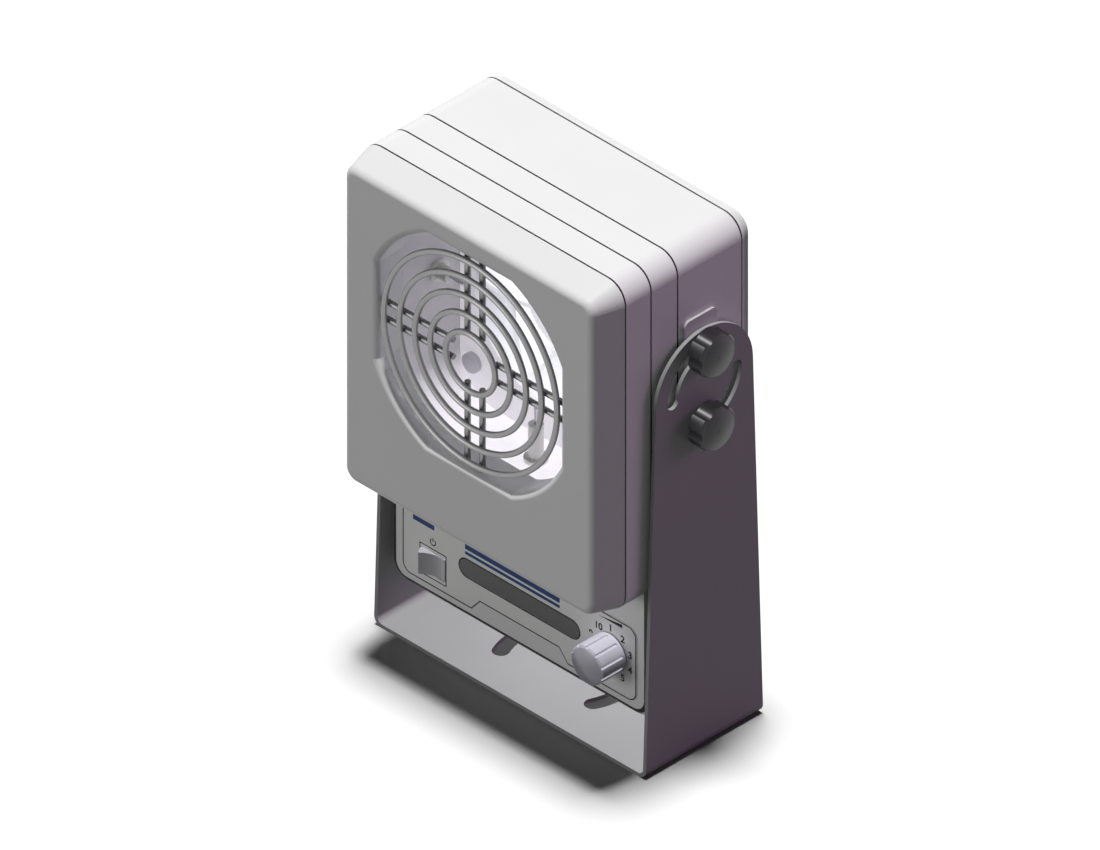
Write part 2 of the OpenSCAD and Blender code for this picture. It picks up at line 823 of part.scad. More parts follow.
// Connector, capacitor and regulator on the front of the board
module board_parts() {
    color([0.2, 0.2, 0.22]) at_axis() translate([-board_half, 0, (board_high + window_z) / 2]) {
        translate([capacitor_in, 0, 0]) rod(board_y - capacitor_len, board_y, capacitor_r);
        translate([connector_in, 0, 0]) along_y(board_y - connector_size[1], board_y)
            square([connector_size[0], connector_size[2]], center = true);
        translate([regulator_in, 0, 0]) along_y(board_y - regulator_size[1], board_y)
            square([regulator_size[0], regulator_size[2]], center = true);
    }
}

module board_screws() {
    back = board_y + board_t;
    color([0.72, 0.72, 0.74]) at_axis() at_board_screws() {
        rod(back, back + board_head_t, board_head_r);
        rod(case_in_y + 3, back + 0.01, board_screw_r);
    }
}

module status_lamps() {
    tip_y = case_in_y + 2 * lamp_r;
    color([0.2, 0.75, 0.3]) at_axis() for (i = [-1 : 1])
        translate([i * lamp_pitch, 0, window_z]) {
            rod(tip_y, board_y, lamp_r);
            translate([0, tip_y, 0]) sphere(lamp_r);
        }
}

// ---- control panel ----

module window_outline(grow) {
    r = window_w / 2 + grow;
    reach = window_len / 2 - window_w / 2;
    translate([0, window_z]) {
        square([2 * reach, 2 * r], center = true);
        for (x = [-reach, reach]) translate([x, 0]) circle(r);
    }
}

module lamp_window() {
    color([0.2, 0.2, 0.21]) at_axis() along_y(film_y, case_in_y) window_outline(0);
}

module panel_film() {
    low = film_bottom - body_drop;
    color([0.87, 0.87, 0.87]) at_axis() along_y(film_y, case_y) difference() {
        outline(film_half, low, film_top - body_drop, film_corner_r);
        polygon([
            [-notch_half, low - cut],
            [-notch_half, low],
            [-notch_top_half, low + notch_h],
            [notch_top_half, low + notch_h],
            [notch_half, low],
            [notch_half, low - cut]
        ]);
        window_outline(slip / 2);
        translate([-switch_x, switch_z]) square([switch_w, switch_tall], center = true);
        translate([knob_x, knob_z]) circle(bushing_r + slip / 2);
    }
}

// Placed on the rocker's pivot, turned to its rest position
module at_rocker() {
    translate([-switch_x, rocker_pivot_y, pivot_h + switch_z]) children();
}

module power_rocker() {
    tall = switch_tall - 2 * rocker_gap;
    hollow = 1;
    hollow_r = (pow(rocker_half - 0.3, 2) + pow(hollow, 2)) / (2 * hollow);
    wide = rocker_half + rocker_flare;
    color([0.55, 0.55, 0.57]) at_rocker() rotate([0, 0, rocker_swing / 2]) {
        difference() {
            translate([0, 0, -tall / 2]) linear_extrude(tall) polygon([
                [-rocker_half, -rocker_face],
                [rocker_half, -rocker_face],
                [wide, -0.2],
                [wide - 1, 1.1],
                [1.6, 1.6],
                [1, 3.4],
                [-1, 3.4],
                [-1.6, 1.6],
                [1 - wide, 1.1],
                [-wide, -0.2]
            ]);
            translate([0, hollow - rocker_face - hollow_r, -tall / 2 - cut])
                cylinder(h = tall + 2 * cut, r = hollow_r);
        }
        translate([0, 0, -tall / 2 - trunnion_len])
            cylinder(h = tall + 2 * trunnion_len, r = trunnion_r);
    }
}

module switch_body() {
    half_w = switch_w / 2 + switch_wall;
    half_h = switch_tall / 2 + trunnion_len + 0.4;
    color([0.18, 0.18, 0.19]) at_axis() translate([-switch_x, 0, switch_z]) difference() {
        along_y(case_in_y, case_in_y + switch_depth)
            square([2 * half_w, 2 * half_h], center = true);
        along_y(case_in_y - cut, case_y + switch_pit)
            square([switch_w, switch_tall], center = true);
    }
}

module speed_control() {
    color([0.45, 0.47, 0.5]) at_axis() translate([knob_x, 0, knob_z]) difference() {
        union() {
            rod(case_in_y, case_in_y + 8.5, 8);
            rod(film_y - nut_t - 0.8, case_in_y + 0.5, bushing_r);
        }
        rod(film_y - 5, case_in_y + 6.5, shaft_d_r + run_fit);
    }
}

module speed_control_nut() {
    color([0.72, 0.72, 0.74]) at_axis() translate([knob_x, 0, knob_z]) difference() {
        translate([0, film_y - nut_t, 0]) rotate([-90, 0, 0])
            cylinder(h = nut_t, d = nut_across / cos(30), $fn = 6);
        rod(film_y - nut_t - cut, film_y + cut, bushing_r + thread_fit);
    }
}

module speed_shaft() {
    color([0.75, 0.76, 0.78]) at_axis() translate([knob_x, 0, knob_z])
        rod(knob_y - knob_len + 2, case_in_y + 6, shaft_d_r);
}

module speed_knob() {
    r = knob_d / 2;
    bevel = 0.7;
    front = knob_y - knob_len;
    dome_h = 0.25;
    dome_r = (pow(r - bevel, 2) + pow(dome_h, 2)) / (2 * dome_h);
    groove_r = 0.55;
    grooves = 10;
    color([0.78, 0.77, 0.83]) at_axis() translate([knob_x, 0, knob_z]) difference() {
        union() {
            rod(front + bevel, knob_y, r);
            translate([0, front + dome_h, 0]) rotate([-90, 0, 0])
                cylinder(h = bevel - dome_h, r1 = r - bevel, r2 = r);
            intersection() {
                rod(front, front + bevel, r - bevel);
                translate([0, front + dome_r, 0]) sphere(dome_r);
            }
        }
        for (i = [0 : grooves - 1]) rotate([0, i * 360 / grooves, 0]) {
            translate([0, 0, r]) rod(front - cut, knob_y - 1.4, groove_r);
            translate([0, knob_y - 1.4, r]) sphere(groove_r);
        }
        rod(knob_y - nut_pocket, knob_y + cut, nut_across / cos(30) / 2 + 0.3);
        rod(front + 1.9, knob_y, shaft_d_r + 0.02);
    }
}

// ---- rear connections ----

module dc_inlet() {
    color([0.12, 0.12, 0.13]) at_axis() translate([inlet_x, 0, rear_fit_z]) {
        difference() {
            union() {
                rod(rear_face_y, rear_face_y + inlet_flange_t, inlet_flange_r);
                rod(rear_face_y - inlet_len, rear_face_y + 0.01, inlet_r);
            }
            rod(rear_face_y - plug_depth, rear_face_y + inlet_flange_t + cut, plug_r);
        }
        rod(rear_face_y - plug_depth - 0.5, rear_face_y - pin_r, pin_r);
    }
}

module dc_inlet_nut() {
    color([0.72, 0.72, 0.74]) at_axis() translate([inlet_x, 0, rear_fit_z]) difference() {
        translate([0, rear_in_y - inlet_nut_t, 0]) rotate([-90, 0, 0])
            cylinder(h = inlet_nut_t, d = inlet_nut_across / cos(30), $fn = 6);
        rod(rear_in_y - inlet_nut_t - cut, rear_in_y + cut, inlet_r + thread_fit);
    }
}

module ground_washer() {
    color([0.72, 0.72, 0.74]) at_axis() translate([ground_x, 0, rear_fit_z])
        tube(rear_face_y, rear_face_y + ground_washer_t, ground_washer_r, ground_r + slip);
}

module ground_screw() {
    head = rear_face_y + ground_washer_t;
    color([0.72, 0.72, 0.74]) at_axis() translate([ground_x, 0, rear_fit_z]) difference() {
        union() {
            rod(head, head + ground_head_t, ground_head_r);
            rod(rear_in_y - 4, head + 0.01, ground_r);
        }
        translate([-0.5, head + 1, -2.4]) cube([1, 2, 4.8]);
        translate([-2.4, head + 1, -0.5]) cube([4.8, 2, 1]);
    }
}

// A cross-recessed case screw whose point is at y_end
module case_screw(y_end) {
    difference() {
        union() {
            rod(rear_face_y - case_head_t, rear_face_y - 0.2, case_head_r);
            rod(y_end, rear_face_y - case_head_t + 0.01, case_screw_r);
        }
        translate([-0.4, rear_face_y - 1.2, -1.7]) cube([0.8, 2, 3.4]);
        translate([-1.7, rear_face_y - 1.2, -0.4]) cube([3.4, 2, 0.8]);
    }
}

module case_screws() {
    color([0.72, 0.72, 0.74]) at_axis() {
        at_head_screws() case_screw(front_y + 4);
        at_foot_screws() case_screw(case_in_y + 2);
    }
}

// ---- side pads and clamps ----

module side_pad(side) {
    color([0.3, 0.3, 0.31]) at_axis() mirror([side < 0 ? 1 : 0, 0, 0]) difference() {
        across_x(body_w / 2, body_w / 2 + pad_t) outline(pad_half_w, -pad_half_h, pad_half_h, 2);
        for (level = [-1, 1]) translate([body_w / 2 - cut, 0, level * clamp_r])
            rotate([0, 90, 0]) cylinder(h = pad_t + 2 * cut, r = insert_r + slip);
    }
}

// Local frame of a clamp: Z runs out from the arm's outer face
module at_clamp(side, level) {
    translate([0, 0, pivot_h + level * clamp_r]) mirror([side < 0 ? 1 : 0, 0, 0])
        translate([bracket_w / 2, 0, 0]) rotate([0, 90, 0]) children();
}

module clamp_inserts(side) {
    top = -side_gap - plate_t;
    color([0.72, 0.6, 0.3]) for (level = [-1, 1]) at_clamp(side, level) difference() {
        translate([0, 0, top - insert_len]) cylinder(h = insert_len, r = insert_r);
        translate([0, 0, top - insert_len - cut])
            cylinder(h = insert_len + 2 * cut, r = stud_r + thread_fit);
    }
}

module clamp_knob(side, level) {
    r = clamp_d / 2;
    face_r = r - 0.55;
    shoulder = clamp_len - 1.3;
    rim = clamp_len - 0.6;
    dome_r = (pow(face_r, 2) + 0.36) / 1.2;
    flute_r = 3.2;
    flute_depth = 0.7;
    flutes = 6;
    color([0.12, 0.12, 0.13]) at_clamp(side, level) difference() {
        union() {
            translate([0, 0, clamp_gap]) cylinder(h = shoulder - clamp_gap, r = r);
            translate([0, 0, shoulder]) cylinder(h = rim - shoulder, r1 = r, r2 = face_r);
            intersection() {
                translate([0, 0, rim - 0.5]) cylinder(h = 2, r = face_r);
                translate([0, 0, clamp_len - dome_r]) sphere(dome_r);
            }
        }
        for (i = [0 : flutes - 1]) rotate([0, 0, (i + 0.5) * 360 / flutes])
            translate([r + flute_r - flute_depth, 0, -cut])
                cylinder(h = clamp_len + 2 * cut, r = flute_r);
        translate([0, 0, -cut]) cylinder(h = clamp_gap + washer_t + cut, r = washer_r + slip);
        translate([0, 0, -cut]) cylinder(h = clamp_len - 1.5 + cut, r = stud_r + 0.02);
    }
}

module clamp_stud(side, level) {
    tip = -side_gap - plate_t - insert_len + 1.5;
    color([0.75, 0.76, 0.78]) at_clamp(side, level)
        translate([0, 0, tip]) cylinder(h = clamp_len - 1.6 - tip, r = stud_r);
}

module clamp_washer(side, level) {
    color([0.75, 0.76, 0.78]) at_clamp(side, level) difference() {
        translate([0, 0, clamp_gap / 2]) cylinder(h = washer_t, r = washer_r);
        translate([0, 0, -cut]) cylinder(h = washer_t + 3 * cut, r = stud_r + slip);
    }
}

bracket();
front_cover();
head_collar();
front_case();
rear_case();
rear_panel();
air_filter();
wire_guard();
air_duct();
fan_frame();
fan_stator();
fan_bearings();
fan_screws();
emitter_holders();
emitter_needles();
high_voltage_module();
control_board();
board_parts();
board_screws();
status_lamps();
panel_film();
lamp_window();
switch_body();
speed_control();
speed_control_nut();
dc_inlet();
dc_inlet_nut();
ground_screw();
ground_washer();
case_screws();
side_pad(1);  // side_pad_right
side_pad(-1);  // side_pad_left
clamp_inserts(1);  // clamp_inserts_right
clamp_inserts(-1);  // clamp_inserts_left
impeller();
impeller_shaft();
rotor_magnet();
power_rocker();
speed_knob();
speed_shaft();
clamp_knob(1, 1);  // clamp_knob_right_upper
clamp_knob(1, -1);  // clamp_knob_right_lower
clamp_knob(-1, 1);  // clamp_knob_left_upper
clamp_knob(-1, -1);  // clamp_knob_left_lower
clamp_stud(1, 1);  // clamp_stud_right_upper
clamp_stud(1, -1);  // clamp_stud_right_lower
clamp_stud(-1, 1);  // clamp_stud_left_upper
clamp_stud(-1, -1);  // clamp_stud_left_lower
clamp_washer(1, 1);  // clamp_washer_right_upper
clamp_washer(1, -1);  // clamp_washer_right_lower
clamp_washer(-1, 1);  // clamp_washer_left_upper
clamp_washer(-1, -1);  // clamp_washer_left_lower
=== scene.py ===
# %% [markdown]
# # An ionizing blower on a pale bench
#
# The blower is a small fan in a moulded housing. Needles behind the round wire guard charge the
# air, and a bent steel bracket lets the housing tilt. The solids come ready-made from the CAD
# model, at their real size and place, so nothing is modelled twice. This lesson gives every
# surface its finish, adds the printed panel, and sets up the light.

# %% Load the solids
import json
import math

import bpy
import bmesh
from mathutils import Matrix, Vector


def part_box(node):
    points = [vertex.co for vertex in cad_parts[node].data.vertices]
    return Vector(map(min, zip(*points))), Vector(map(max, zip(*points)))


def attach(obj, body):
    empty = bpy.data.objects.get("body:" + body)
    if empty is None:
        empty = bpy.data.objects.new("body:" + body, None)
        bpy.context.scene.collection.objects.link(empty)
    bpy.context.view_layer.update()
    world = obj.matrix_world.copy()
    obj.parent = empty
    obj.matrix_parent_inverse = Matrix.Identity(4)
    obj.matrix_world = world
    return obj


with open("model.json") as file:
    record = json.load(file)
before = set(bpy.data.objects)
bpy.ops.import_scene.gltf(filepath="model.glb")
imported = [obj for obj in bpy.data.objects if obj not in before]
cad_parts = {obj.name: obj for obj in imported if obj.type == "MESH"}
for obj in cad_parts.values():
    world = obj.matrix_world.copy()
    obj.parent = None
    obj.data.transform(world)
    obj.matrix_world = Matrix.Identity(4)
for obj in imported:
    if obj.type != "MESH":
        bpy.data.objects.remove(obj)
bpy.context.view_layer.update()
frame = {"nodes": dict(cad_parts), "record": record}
nodes = frame["nodes"]
MM = 0.001

# %% [markdown]
# ## The camera
#
# Product drawings are often shown isometric: the camera stands 45 degrees to the right of the
# front and about 35 degrees up, and lines that are parallel stay parallel. A camera with a very
# long lens comes close to that, and an orthographic one does exactly that. It looks close to the
# middle of the housing, worked out from the solids, so it still frames the blower if a size
# changes.

# %% Isometric camera
VIEW_WIDTH = 0.3288
CAMERA_DISTANCE = 1.2
AIM_RIGHT, AIM_UP = 1.7 * MM, 2.4 * MM
front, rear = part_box("front_cover")[0].y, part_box("rear_panel")[1].y
middle = Vector((0, (front + rear) / 2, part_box("front_cover")[1].z / 2))
to_camera = Vector((1, -1, 1)).normalized()
screen_right = Vector((1, 1, 0)).normalized()
screen_up = to_camera.cross(screen_right)
aim = middle + AIM_RIGHT * screen_right + AIM_UP * screen_up

camera_data = bpy.data.cameras.new("camera")
camera_data.type = "ORTHO"
camera_data.ortho_scale = VIEW_WIDTH
camera_data.clip_end = 10
camera = bpy.data.objects.new("camera", camera_data)
camera.matrix_world = (
    Matrix.Translation(aim + CAMERA_DISTANCE * to_camera)
    @ Matrix((screen_right, screen_up, to_camera)).transposed().to_4x4()
)
bpy.context.scene.collection.objects.link(camera)
bpy.context.scene.camera = camera
print("camera looks at", [round(c, 4) for c in aim])

# %% [markdown]
# ## Writing materials as sums
#
# A procedural material is a network of small calculations. Its nodes could be placed and linked
# one by one, but a sum of three terms would then fill half a page. Written as Python expressions
# it reads like a formula: `1 - mask` or `noise * 0.2 + 0.4`. The class below wraps one output of
# a node and adds a Math node for every operator.


# %% Expressions for shader maths
class Wire:
    """One output of a node, which can be used in sums."""

    def __init__(self, finish, socket):
        self.finish, self.socket = finish, socket

    def _sum(self, operation, first, second):
        return self.finish.node("ShaderNodeMath", {"operation": operation}, {0: first, 1: second})

    def __add__(self, other):
        return self._sum("ADD", self, other)

    def __sub__(self, other):
        return self._sum("SUBTRACT", self, other)

    def __rsub__(self, other):
        return self._sum("SUBTRACT", other, self)

    def __mul__(self, other):
        return self._sum("MULTIPLY", self, other)

    def __lt__(self, other):
        return self._sum("LESS_THAN", self, other)

    __radd__ = __add__
    __rmul__ = __mul__

    def __abs__(self):
        return self._sum("ABSOLUTE", self, 0)

    def at_least(self, other):
        return self._sum("MAXIMUM", self, other)

    def at_most(self, other):
        return self._sum("MINIMUM", self, other)


print("wires can be added, multiplied and compared")

# %% [markdown]
# ## Making nodes by calls
#
# Everything that isn't a sum, such as a noise or a mix, comes from one method that makes a node,
# sets its options and then fills its sockets. The short methods after it are the patterns that
# several finishes share. The room at the end is built of nodes too, so the class serves both.
# Noise is used for every texture: it needs no unwrapping and no pictures, it is measured in
# metres on the solid, and it moves with the solid.


# %% Node builder
class Finish:
    """The nodes of a material or of a room, made by calls."""

    def __init__(self, owner):
        self.owner = owner
        owner.use_nodes = True
        self.tree = owner.node_tree
        self.tree.nodes.clear()

    def node(self, kind, settings=None, sockets=None, output=0):
        """Adds a node: its settings first, then the values or links of its sockets."""
        made = self.tree.nodes.new(kind)
        for name, value in (settings or {}).items():
            setattr(made, name, value)
        for name, value in (sockets or {}).items():
            if isinstance(value, Wire):
                self.tree.links.new(value.socket, made.inputs[name])
            else:
                made.inputs[name].default_value = value
        return Wire(self, made.outputs[output])

    def place(self, kind="Object"):
        """Where a point is on the solid: in metres, or from 0 to 1 if Generated is asked for."""
        return self.node("ShaderNodeTexCoord", output=kind)

    def axis(self, letter, kind="Object"):
        return self.node("ShaderNodeSeparateXYZ", {}, {0: self.place(kind)}, letter)

    def noise(self, size, detail=2.0, stretch=(1, 1, 1)):
        """Noise whose lumps are about `size` metres, stretched along an axis where asked."""
        scaled = self.node(
            "ShaderNodeMapping", {}, {"Vector": self.place(), "Scale": [1 / s for s in stretch]}
        )
        sockets = {"Vector": scaled, "Scale": 1 / size, "Detail": detail}
        return self.node("ShaderNodeTexNoise", {}, sockets, "Fac")

    def blend(self, factor, first, second):
        """Colour that goes from the first to the second as the factor goes from 0 to 1."""
        sockets = {0: factor, 6: first, 7: second}
        return self.node("ShaderNodeMix", {"data_type": "RGBA"}, sockets, 2)

    def bump(self, height, distance, strength=1.0):
        sockets = {"Height": height, "Distance": distance, "Strength": strength}
        return self.node("ShaderNodeBump", {}, sockets)

    def surface(self, **sockets):
        """Ends the material in a Principled shader; spaces in socket names are written _."""
        named = {name.replace("_", " "): value for name, value in sockets.items()}
        return self.end(self.node("ShaderNodeBsdfPrincipled", {}, named))

    def looked_at(self):
        """1 for rays that look at the surface, straight or in a reflection, and 0 for others."""
        names = ("Is Camera Ray", "Is Glossy Ray", "Is Transmission Ray")
        straight, glossy, through = [self.node("ShaderNodeLightPath", output=n) for n in names]
        return straight.at_least(glossy).at_least(through)

    def end(self, shader, kind="ShaderNodeOutputMaterial"):
        """Links the shader to the output and hands back the material or the room."""
        made = self.tree.nodes.new(kind)
        self.tree.links.new(shader.socket, made.inputs["Surface"])
        return self.owner


def material_finish(name):
    return Finish(bpy.data.materials.new(name))


def shade(*seen):
    """A colour as seen on a screen, 0 to 1, turned into the linear values that shaders use."""
    linear = [c / 12.92 if c <= 0.04045 else ((c + 0.055) / 1.055) ** 2.4 for c in seen]
    return (*linear, 1)


print("mid grey 0.5 on screen is", round(shade(0.5)[0], 3), "in linear light")

# %% [markdown]
# ## Moulded shell plastic
#
# The housing is injection-moulded ABS. The mould is spark-eroded, so the skin has a fine even
# grain that softens the shine. Where two shells meet there is a narrow groove, and the shade in
# it is painted into the colour, which turns nearly black along each seam. That painted shade
# could be a mask, or cut out as a strip of its own. The seams lie at known depths though, so a
# mask worked out from the Y coordinate alone puts it exactly there. The last one is where the
# stepped rear panel meets the rear case.

# %% Shell plastic
SEAM_MIDDLE = 0.32 * MM
SEAM_HALF_WIDTH = 0.3 * MM
REAR_STEP = 1.3 * MM
SEAM_DEPTHS = [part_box(name)[0].y for name in ("head_collar", "front_case", "rear_case")]
SEAM_DEPTHS.append(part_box("rear_case")[1].y - REAR_STEP)


def shell_plastic():
    finish = material_finish("shell_plastic")
    depth = finish.axis("Y")
    nearest = 1.0
    for seam_depth in SEAM_DEPTHS:
        nearest = abs(depth - (seam_depth + SEAM_MIDDLE)).at_most(nearest)
    # painted shade: a mask for a narrow band along each seam groove
    seam_shade_mask = nearest < SEAM_HALF_WIDTH
    cloud = finish.noise(0.03, 3)
    grain = finish.noise(0.0005, 1)
    unshaded_tone = finish.blend(cloud, shade(0.875, 0.875, 0.875), shade(0.90, 0.90, 0.90))
    # the nearly black seam colour is painted shade, not a colour of the plastic
    colour = finish.blend(seam_shade_mask, unshaded_tone, shade(0.07, 0.07, 0.075))
    return finish.surface(
        Base_Color=colour,
        Specular_IOR_Level=0.3,
        Roughness=cloud * 0.08 + grain * 0.05 + 0.40,
        Normal=finish.bump(grain, 0.02 * MM, 0.5),
    )


print("seams at", [round(y / MM, 1) for y in SEAM_DEPTHS], "mm")

# %% [markdown]
# ## Bracket sheet
#
# The bracket is cut and bent from steel sheet and finished in a satin grey coat. A sprayed coat
# is never quite flat: it has a faint orange peel a millimetre or so across, and its grey varies a
# little from place to place. A metallic shader would show bare steel, so the coat is a plain
# one with little shine, and a bump carries the orange peel.

# %% Coated sheet
PEEL_SIZE = 1.2 * MM


def bracket_sheet():
    finish = material_finish("bracket_sheet")
    peel = finish.noise(PEEL_SIZE, 2)
    cloud = finish.noise(0.04, 2)
    colour = finish.blend(cloud, shade(0.52, 0.52, 0.525), shade(0.55, 0.55, 0.555))
    return finish.surface(
        Base_Color=colour,
        Specular_IOR_Level=0.12,
        Roughness=cloud * 0.08 + 0.42,
        Normal=finish.bump(peel, 0.02 * MM, 0.6),
    )


print("the coat's orange peel is", PEEL_SIZE / MM, "mm across")

# %% [markdown]
# ## Metals
#
# The guard is bright drawn wire, and drawing leaves fine scratches. Screws and washers are zinc
# plated, which is a little cloudy. Shafts and needles are ground and shine. Brass inserts, copper
# windings and the magnet ring are metal too. Each could be a material of its own, but they only
# differ in colour, roughness and the size and stretch of their scratches, so one function makes
# them all.


# %% Bare metals
def bare_metal(name, colour, roughness, grain_size, stretch=(1, 1, 1)):
    finish = material_finish(name)
    scratch = finish.noise(grain_size, 3, stretch)
    tint = finish.blend(scratch, shade(*[0.9 * c for c in colour]), shade(*colour))
    return finish.surface(
        Base_Color=tint,
        Metallic=1.0,
        Roughness=scratch * 0.15 + roughness,
        Normal=finish.bump(scratch, 0.01 * MM, 0.4),
    )


guard_wire = bare_metal("guard_wire", (0.56, 0.56, 0.56), 0.30, 0.0006)
screw_steel = bare_metal("screw_steel", (0.78, 0.78, 0.80), 0.30, 0.0015)
bright_steel = bare_metal("bright_steel", (0.80, 0.80, 0.82), 0.15, 0.0008, (1, 6, 1))
insert_brass = bare_metal("insert_brass", (0.80, 0.66, 0.40), 0.30, 0.0008)
motor_winding = bare_metal("motor_winding", (0.72, 0.42, 0.22), 0.35, 0.0004, (6, 1, 1))
magnet = bare_metal("magnet", (0.32, 0.32, 0.34), 0.50, 0.0005)
print("metals made")

# %% [markdown]
# ## Other plastics, rubber and boards
#
# The rest of the parts share one recipe too: black clamp knobs, the satin speed knob, a pale duct
# and fan, the smoked lamp window and the rubber pads. Each has a base colour that varies a
# little, a fine grain, and its own shine. The ends of the knobs are shallow domes, and a bump
# strengthens that a little: it falls away from the middle as the square of the distance, nearly
# to the rim. Generated coordinates run from 0 to 1 across each solid, so one recipe fits every
# knob. The rim is half a knob from the middle, and four times the square of a half is one.

# %% Small mouldings
DOME_ENDS_AT = 0.2


def moulding(
    name, colour, roughness, grain_size=0.0004, grain_depth=0.0075, spread=0.06, shine=0.5, dome=None
):
    """Plastic with a fine grain, its size in metres and its depth in mm.

    The spread is how much darker the darkest places are. A dome is given as its two axes across
    and its fall in mm.
    """
    finish = material_finish(name)
    cloud = finish.noise(0.006, 3)
    grain = finish.noise(grain_size, 1)
    height = grain * (grain_depth * MM)
    if dome:
        across, fall = dome
        one, other = [finish.axis(letter, "Generated") - 0.5 for letter in across]
        squared = one * one + other * other
        height = height - squared.at_most(DOME_ENDS_AT) * (4 * fall * MM)
    darker = [c * (1 - spread) for c in colour]
    return finish.surface(
        Base_Color=finish.blend(cloud, shade(*darker), shade(*colour)),
        Specular_IOR_Level=shine,
        Roughness=cloud * 0.1 + roughness,
        Normal=finish.bump(height, 1.0),
    )


# black ink for the print, and black for the painted shade in the gaps round the rocker and the
# window
black_ink_and_shade = moulding("black_ink_and_shade", (0.06, 0.06, 0.065), 0.50, shine=0.2)
ink_blue = moulding("ink_blue", (0.13, 0.25, 0.45), 0.50, shine=0.2)
print("inks made:", black_ink_and_shade.name, ink_blue.name)

# %% [markdown]
# ## The finishes by name
#
# The names are those that the CAD record uses. A table shows at a glance how the mouldings
# differ: pale parts for the air path, black for what is gripped, and for each its roughness.

# %% Table of finishes
finishes = {
    "shell_plastic": shell_plastic(),
    "bracket_sheet": bracket_sheet(),
    "guard_wire": guard_wire,
    "screw_steel": screw_steel,
    "bright_steel": bright_steel,
    "insert_brass": insert_brass,
    "motor_winding": motor_winding,
    "magnet": magnet,
}
SMALL_MOULDINGS = {
    "duct_plastic": dict(colour=(0.80, 0.79, 0.81), roughness=0.45, shine=0.2),
    "fan_plastic": dict(colour=(0.86, 0.86, 0.88), roughness=0.38),
    "impeller_plastic": dict(colour=(0.90, 0.90, 0.92), roughness=0.36, shine=0.3),
    "holder_plastic": dict(colour=(0.90, 0.90, 0.88), roughness=0.30),
    "filter_foam": dict(
        colour=(0.22, 0.22, 0.23), roughness=0.85, grain_size=0.0009, grain_depth=0.2, spread=0.5
    ),
    "potting": dict(colour=(0.14, 0.14, 0.15), roughness=0.35),
    "circuit_board": dict(colour=(0.10, 0.36, 0.20), roughness=0.30),
    "board_black": dict(colour=(0.16, 0.16, 0.17), roughness=0.45),
    "lamp_lens": dict(colour=(0.30, 0.75, 0.38), roughness=0.20),
    "film": dict(
        colour=(0.89, 0.89, 0.885), roughness=0.34, grain_size=0.0003, grain_depth=0.004, spread=0.02
    ),
    "window_smoke": dict(
        colour=(0.17, 0.17, 0.175), roughness=0.18, grain_size=0.0006, grain_depth=0.0015, shine=0.4
    ),
    "black_plastic": dict(colour=(0.15, 0.15, 0.155), roughness=0.45),
    "rocker_plastic": dict(colour=(0.66, 0.66, 0.68), roughness=0.30, shine=0.3),
    "clamp_knob_plastic": dict(
        colour=(0.15, 0.145, 0.155), roughness=0.36, grain_size=0.0003, grain_depth=0.003,
        shine=0.4, dome=("YZ", 1.0),
    ),
    "speed_knob_metal": dict(
        colour=(0.79, 0.78, 0.83), roughness=0.26, grain_size=0.0003, grain_depth=0.003,
        dome=("XZ", 1.5),
    ),
    "pad_rubber": dict(colour=(0.84, 0.83, 0.84), roughness=0.60),
}
finishes.update({name: moulding(name, **look) for name, look in SMALL_MOULDINGS.items()})
print(len(finishes), "finishes")

# %% [markdown]
# ## Dressing the solids
#
# The CAD record says which finish each solid has, so no list of solids is needed here. A solid
# keeps its shape and only its material changes.

# %% Give every solid its finish
for part in frame["record"]["subparts"]:
    slots = nodes[part["node"]].data.materials
    slots.clear()
    slots.append(finishes[part["material_slot"]])
print("dressed", len(nodes), "solids")

# %% [markdown]
# ## Ink on the panel film
#
# The film on the panel carries a printed outline, dial numbers and marks. They could be masks in
# the film's material, but lines as thin as these would blur. Screen ink is a real layer some
# hundredths of a millimetre thick, so each mark is a thin mesh just above the film: its edges
# stay crisp, and it shows in every view.

# %% Ink helpers
film_low, film_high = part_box("panel_film")
knob_low, knob_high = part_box("speed_knob")
window_low, window_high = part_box("lamp_window")
rocker_low, rocker_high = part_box("power_rocker")
INK = 0.03 * MM
INK_THICKNESS = 0.9 * INK


def film_piece(name, mesh, material):
    """Makes an object of a mesh, in its finish, as a part of the film on the housing."""
    mesh.materials.clear()
    mesh.materials.append(material)
    piece = bpy.data.objects.new(name, mesh)
    bpy.context.scene.collection.objects.link(piece)
    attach(piece, "housing")


def printed(name, loops, material):
    """Printed ink, or painted shade, as a thin layer whose flat shapes are XZ outlines on the film.
    """
    shape = bmesh.new()
    for loop in loops:
        shape.faces.new([shape.verts.new((x, film_low.y - INK, z)) for x, z in loop])
    made = bmesh.ops.extrude_face_region(shape, geom=shape.faces[:])
    moved = [v for v in made["geom"] if isinstance(v, bmesh.types.BMVert)]
    bmesh.ops.translate(shape, verts=moved, vec=(0, INK_THICKNESS, 0))
    bmesh.ops.recalc_face_normals(shape, faces=shape.faces[:])
    mesh = bpy.data.meshes.new(name)
    shape.to_mesh(mesh)
    shape.free()
    film_piece(name, mesh, material)


print("film is", round((film_high.x - film_low.x) / MM, 1), "mm wide")

# %% [markdown]
# ## The dial numbers
#
# The fan speed dial runs from 1 at the top clockwise to 10, so the numbers stand 36 degrees
# apart round the knob. Digits drawn by hand would look clumsy, and text objects give clean ones.
# A digit fills 0.7 of its font's size, and a small offset makes it bolder. Then it is turned to a
# mesh, so that the ink has a thickness and needs no font later.

# %% Dial numbers
DIAL_RADIUS = 8.7 * MM
DIGIT_HEIGHT = 2.4 * MM
DIGIT_SHARE = 0.7
DIGIT_WEIGHT = 0.10 * MM
DIAL_STEP = 36
dial_x = (knob_low.x + knob_high.x) / 2
dial_z = (knob_low.z + knob_high.z) / 2


